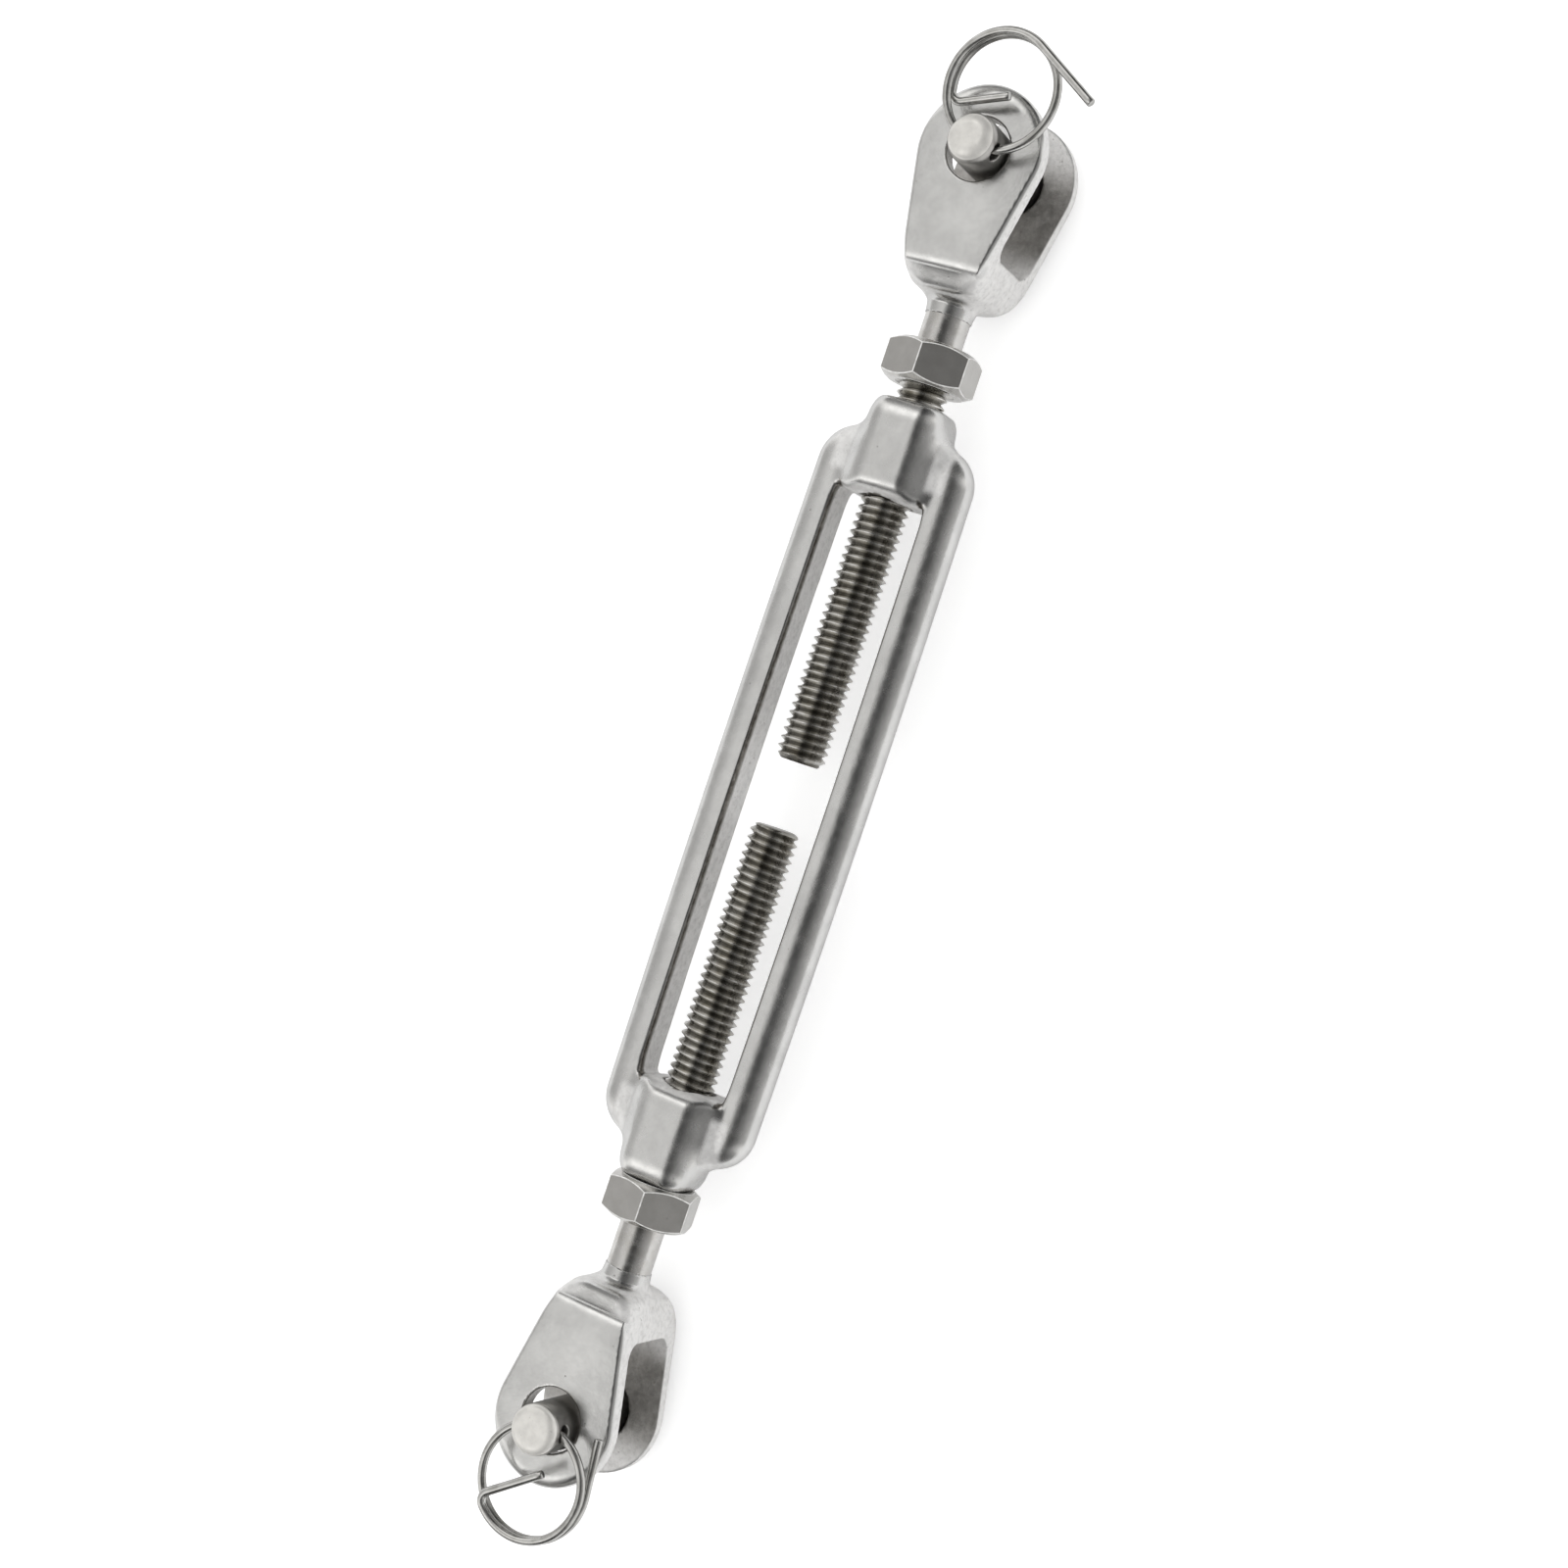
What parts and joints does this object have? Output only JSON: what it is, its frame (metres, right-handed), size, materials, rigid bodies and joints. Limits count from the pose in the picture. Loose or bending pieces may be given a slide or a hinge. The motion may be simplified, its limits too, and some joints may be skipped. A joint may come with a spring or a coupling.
{
  "type": "rigging turnbuckle",
  "caption": "Open-body turnbuckle with a threaded fork jaw at each end, lock nuts, and clevis pins held by split rings, for tensioning rigging wire.",
  "frame": {"origin": "on the screw axis at the middle of the body, where a turning bar goes through the window", "axes": "+X along the screw axis towards the right-hand-threaded jaw; +Z along the clevis pins towards their split rings; +Y completes a right-handed set"},
  "size_m": [0.1785, 0.0234, 0.022],
  "materials": {
    "cast_body": "satin electropolished casting, slightly pitted",
    "cast_fork": "satin electropolished casting, slightly pitted",
    "thread_steel": "rolled thread, bright",
    "nut_steel": "polished stainless steel",
    "pin_steel": "turned stainless steel",
    "ring_wire": "drawn stainless wire"
  },
  "bodies": {
    "body": {"frame": "cast_body"},
    "rh_stud": {"rh_screw": "thread_steel"},
    "rh_jaw": {"rh_fork": "cast_fork"},
    "rh_pin": {"rh_clevis_pin": "pin_steel"},
    "rh_ring": {"rh_split_ring": "ring_wire"},
    "rh_nut": {"rh_lock_nut": "nut_steel"},
    "lh_stud": {"lh_screw": "thread_steel"},
    "lh_jaw": {"lh_fork": "cast_fork"},
    "lh_pin": {"lh_clevis_pin": "pin_steel"},
    "lh_ring": {"lh_split_ring": "ring_wire"},
    "lh_nut": {"lh_lock_nut": "nut_steel"}
  },
  "joints": [
    {"name": "rh_travel", "type": "slide", "parent": "body", "child": "rh_stud", "axis": [1, 0, 0], "range_m": [-0.00275, 0.03]},
    {"name": "rh_turn", "type": "hinge", "parent": "rh_stud", "child": "rh_jaw", "pos_m": [0.076, 0, 0], "axis": [1, 0, 0], "range_deg": [-994, 10804]},
    {"name": "rh_pin_spin", "type": "hinge", "parent": "rh_jaw", "child": "rh_pin", "pos_m": [0.076, -0.00055, 0], "axis": [0, 0, 1], "continuous": true},
    {"name": "rh_ring_swing", "type": "hinge", "parent": "rh_pin", "child": "rh_ring", "pos_m": [0.076, -0.00055, 0.0099], "axis": [-0.225, -0.9744, 0], "range_deg": [-10, 93]},
    {"name": "rh_nut_run", "type": "slide", "parent": "body", "child": "rh_nut", "axis": [1, 0, 0], "range_m": [-0.00218, 0.0006]},
    {"name": "lh_travel", "type": "slide", "parent": "body", "child": "lh_stud", "axis": [-1, 0, 0], "range_m": [-0.00276, 0.03001]},
    {"name": "lh_turn", "type": "hinge", "parent": "lh_stud", "child": "lh_jaw", "pos_m": [-0.076, 0, 0], "axis": [1, 0, 0], "range_deg": [-994, 10804]},
    {"name": "lh_pin_spin", "type": "hinge", "parent": "lh_jaw", "child": "lh_pin", "pos_m": [-0.0764, -0.0004, 0], "axis": [0, 0, 1], "continuous": true},
    {"name": "lh_ring_swing", "type": "hinge", "parent": "lh_pin", "child": "lh_ring", "pos_m": [-0.0764, -0.0004, 0.0099], "axis": [-0.1392, 0.9903, 0], "range_deg": [-3, 100]},
    {"name": "lh_nut_run", "type": "slide", "parent": "body", "child": "lh_nut", "axis": [-1, 0, 0], "range_m": [0, 0.0026]}
  ],
  "couplings": [
    {"joint": "rh_turn", "follows": "rh_travel", "rad_per_m": 6283.2},
    {"joint": "lh_travel", "follows": "rh_travel", "ratio": 1},
    {"joint": "lh_turn", "follows": "rh_travel", "rad_per_m": 6283.2}
  ]
}
